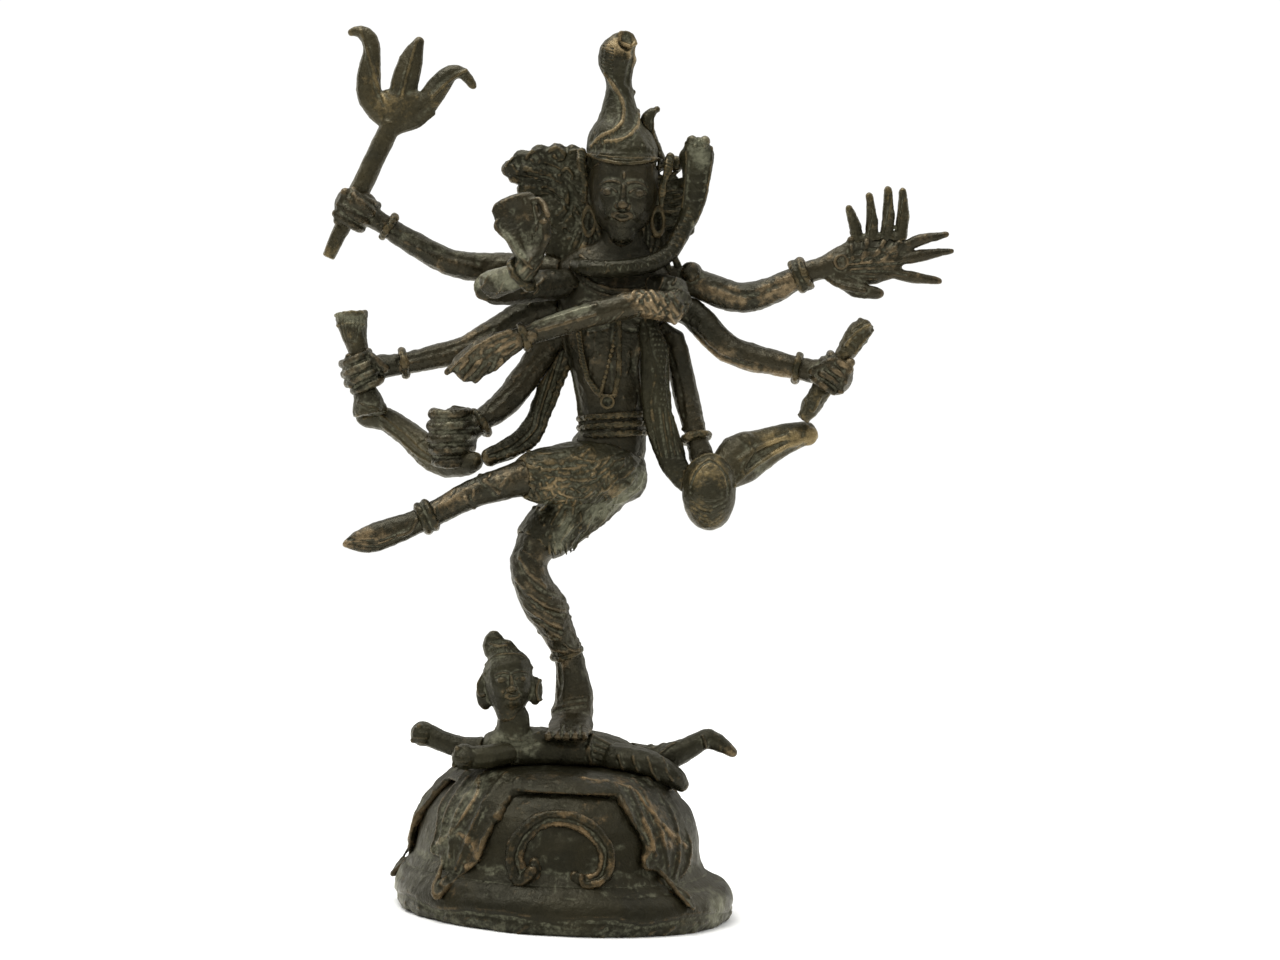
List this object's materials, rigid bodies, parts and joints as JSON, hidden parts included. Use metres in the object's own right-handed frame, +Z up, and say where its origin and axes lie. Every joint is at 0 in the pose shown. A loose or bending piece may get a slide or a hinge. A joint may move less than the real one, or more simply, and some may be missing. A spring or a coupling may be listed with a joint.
{
  "type": "dancing figure statue",
  "caption": "Cast brass multi-armed figure dancing on a dwarf, on a hollow domed plinth, with a trident that draws up out of its fist.",
  "frame": {"origin": "centre of the foot rim on the plane the plinth stands on", "axes": "+Z up, the dancer faces -Y, the raised leg points to -X"},
  "size_m": [0.1572, 0.0848, 0.2196],
  "materials": {
    "plinth_brass": "dark hand-rubbed patina",
    "fixing_brass": "dull unpolished",
    "dwarf_brass": "dark hand-rubbed patina",
    "ornament_brass": "dark hand-rubbed patina",
    "held_brass": "dark hand-rubbed patina",
    "figure_brass": "dark hand-rubbed patina"
  },
  "bodies": {
    "figure": {"plinth": "plinth_brass", "plinth_cloth": "plinth_brass", "scroll_front": "plinth_brass", "scroll_back": "plinth_brass", "foot_rivet": "fixing_brass", "foot_washer": "fixing_brass", "dwarf_body": "dwarf_brass", "dwarf_head": "dwarf_brass", "dwarf_arm_reaching": "dwarf_brass", "dwarf_arm_bent": "dwarf_brass", "dwarf_leg_kicking": "dwarf_brass", "dwarf_leg_folded": "dwarf_brass", "torso": "figure_brass", "standing_leg": "figure_brass", "raised_leg": "figure_brass", "skirt": "ornament_brass", "belt": "ornament_brass", "head": "figure_brass", "headdress": "ornament_brass", "diadem": "ornament_brass", "crescent": "ornament_brass", "hair_fan_right": "ornament_brass", "hair_fan_left": "ornament_brass", "neck_snake": "ornament_brass", "earrings": "ornament_brass", "garland": "ornament_brass", "pendant": "ornament_brass", "sash_right": "ornament_brass", "sash_left": "ornament_brass", "arm_trident": "figure_brass", "arm_drum": "figure_brass", "arm_horn": "figure_brass", "arm_blessing": "figure_brass", "arm_crossing": "figure_brass", "arm_flame": "figure_brass", "arm_dagger": "figure_brass", "arm_conch": "figure_brass", "bracelet_trident": "ornament_brass", "bracelet_drum": "ornament_brass", "bracelet_horn": "ornament_brass", "bracelet_blessing": "ornament_brass", "bracelet_crossing": "ornament_brass", "bracelet_flame": "ornament_brass", "bracelet_dagger": "ornament_brass", "bracelet_conch": "ornament_brass", "anklet_standing": "ornament_brass", "anklet_raised": "ornament_brass", "drum": "held_brass", "horn": "held_brass", "flame": "held_brass", "dagger": "held_brass", "conch": "held_brass"},
    "trident": {"trident": "held_brass"}
  },
  "joints": [
    {"name": "trident_lift", "type": "slide", "parent": "figure", "child": "trident", "axis": [0.3795, 0, 0.9252], "range_m": [0, 0.03]}
  ]
}
